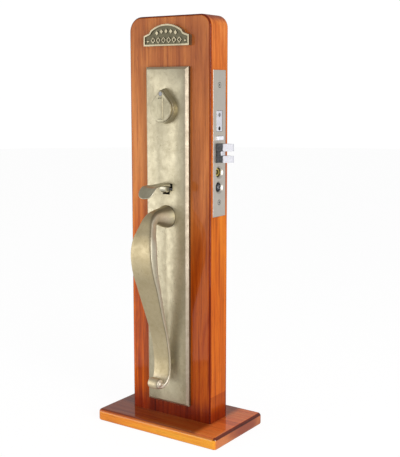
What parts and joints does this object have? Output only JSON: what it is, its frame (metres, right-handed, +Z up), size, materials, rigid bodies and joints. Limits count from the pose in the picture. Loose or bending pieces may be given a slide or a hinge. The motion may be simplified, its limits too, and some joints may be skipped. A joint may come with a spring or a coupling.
{
  "type": "mortise entry handle set on a wooden display stand",
  "caption": "Cast bronze mortise entry set with ribbon grip, thumb latch, keyed cylinder and lock in a wooden display post on a base.",
  "frame": {"origin": "centre of the base board's underside, where the stand rests", "axes": "+Z up; the street side with the grip faces -Y; the lock's edge, where the bolts come out, faces +X"},
  "size_m": [0.213, 0.1737, 0.595],
  "materials": {
    "lacquered_wood": "gloss",
    "cast_bronze": "satin",
    "plaque_bronze": "satin",
    "satin_steel": "satin",
    "case_steel": "satin",
    "dark_steel": "satin",
    "bright_steel": "gloss",
    "brass": "gloss",
    "spring_steel": "satin"
  },
  "bodies": {
    "stand": {"base_board": "lacquered_wood", "post_screws": "dark_steel", "display_post": "lacquered_wood", "name_plaque": "plaque_bronze", "plaque_pins": "plaque_bronze", "outer_plate": "cast_bronze", "inner_plate": "cast_bronze", "plate_bolt": "cast_bronze", "grip_bolts": "cast_bronze", "lower_rosette": "cast_bronze", "grip_handle": "cast_bronze", "thumb_bracket": "case_steel", "bracket_screws": "dark_steel", "thumb_pivot_pin": "dark_steel", "cylinder_collar": "cast_bronze", "cover_pivot_screw": "cast_bronze", "cylinder_body": "brass", "driver_pins": "brass", "cylinder_set_screw": "dark_steel", "lock_case": "case_steel", "case_cover": "case_steel", "case_cover_screws": "dark_steel", "case_front": "case_steel", "faceplate": "satin_steel", "faceplate_screws": "satin_steel", "case_screws": "dark_steel", "retractor_pin": "dark_steel", "knob_bushing": "cast_bronze", "latch_spring": "spring_steel", "auxiliary_spring": "spring_steel", "rocker_pin": "dark_steel"},
    "keyhole_cover": {"keyhole_cover": "cast_bronze"},
    "key_plug": {"cylinder_plug": "brass", "key_pins": "brass", "cylinder_cam": "brass", "cam_screws": "dark_steel"},
    "thumb_latch": {"thumb_latch": "cast_bronze"},
    "thumb_lifter": {"thumb_lifter": "case_steel"},
    "retractor_lever": {"retractor_lever": "case_steel"},
    "latch": {"latch_bolt": "dark_steel", "tongue_pin": "dark_steel"},
    "latch_tongue": {"antifriction_tongue": "bright_steel"},
    "auxiliary_bolt": {"auxiliary_bolt": "bright_steel"},
    "dead_bolt": {"dead_bolt": "bright_steel", "dead_bolt_pins": "dark_steel"},
    "inside_turn": {"thumb_turn": "cast_bronze", "turn_spindle": "case_steel", "turn_hub": "case_steel"},
    "inside_knob": {"inner_knob": "cast_bronze", "knob_spindle": "case_steel", "knob_set_screw": "dark_steel", "knob_hub": "case_steel"},
    "upper_stop": {"stop_button_upper": "brass"},
    "lower_stop": {"stop_button_lower": "bright_steel"},
    "stop_rocker": {"stop_rocker": "case_steel"}
  },
  "joints": [
    {"name": "cover_swing", "type": "hinge", "parent": "stand", "child": "keyhole_cover", "pos_m": [0, -0.041, 0.488], "axis": [0, 1, 0], "range_deg": [-110, 110]},
    {"name": "key_turn", "type": "hinge", "parent": "stand", "child": "key_plug", "pos_m": [0, -0.02, 0.4635], "axis": [0, 1, 0], "continuous": true},
    {"name": "thumb_press", "type": "hinge", "parent": "stand", "child": "thumb_latch", "pos_m": [0, -0.019, 0.354], "axis": [1, 0, 0], "range_deg": [0, 17], "stiffness_Nm_per_rad": 0.6, "springref_deg": -20.05},
    {"name": "lifter_slide", "type": "slide", "parent": "stand", "child": "thumb_lifter", "axis": [0, 0, 1], "range_m": [0, 0.00552]},
    {"name": "lever_swing", "type": "hinge", "parent": "stand", "child": "retractor_lever", "pos_m": [-0.013, 0, 0.368], "axis": [0, -1, 0], "range_deg": [0, 34.1]},
    {"name": "latch_slide", "type": "slide", "parent": "stand", "child": "latch", "axis": [-1, 0, 0], "range_m": [0, 0.01902], "deforming": ["latch_spring"]},
    {"name": "tongue_swing", "type": "hinge", "parent": "latch", "child": "latch_tongue", "pos_m": [0.066, 0.0035, 0.4062], "axis": [0, 0, 1], "range_deg": [0, 15], "stiffness_Nm_per_rad": 0.02, "springref_deg": -17.19},
    {"name": "auxiliary_press", "type": "slide", "parent": "stand", "child": "auxiliary_bolt", "axis": [-1, 0, 0], "range_m": [0, 0.003], "stiffness_N_per_m": 300, "springref_m": -0.006, "deforming": ["auxiliary_spring"]},
    {"name": "dead_bolt_throw", "type": "slide", "parent": "stand", "child": "dead_bolt", "axis": [1, 0, 0], "range_m": [0, 0.0254]},
    {"name": "inside_turn", "type": "hinge", "parent": "stand", "child": "inside_turn", "pos_m": [0, 0.03, 0.467], "axis": [0, -1, 0], "range_deg": [0, 90.1]},
    {"name": "knob_turn", "type": "hinge", "parent": "stand", "child": "inside_knob", "pos_m": [0, 0.05, 0.4065], "axis": [0, 1, 0], "range_deg": [-60, 60], "stiffness_Nm_per_rad": 0.15},
    {"name": "upper_stop_press", "type": "slide", "parent": "stand", "child": "upper_stop", "axis": [1, 0, 0], "range_m": [0, 0.003]},
    {"name": "lower_stop_press", "type": "slide", "parent": "stand", "child": "lower_stop", "axis": [1, 0, 0], "range_m": [-0.00301, 0.00001]},
    {"name": "rocker_swing", "type": "hinge", "parent": "stand", "child": "stop_rocker", "pos_m": [0.04, 0, 0.36925], "axis": [0, 1, 0], "range_deg": [0, 16.44]}
  ],
  "couplings": [
    {"joint": "lifter_slide", "follows": "thumb_press", "m_per_rad": 0.018537},
    {"joint": "lever_swing", "follows": "thumb_press", "ratio": 2},
    {"joint": "latch_slide", "follows": "thumb_press", "m_per_rad": 0.064036},
    {"joint": "inside_turn", "follows": "dead_bolt_throw", "rad_per_m": 61.842},
    {"joint": "lower_stop_press", "follows": "upper_stop_press", "ratio": -1},
    {"joint": "rocker_swing", "follows": "upper_stop_press", "rad_per_m": 95.045}
  ]
}
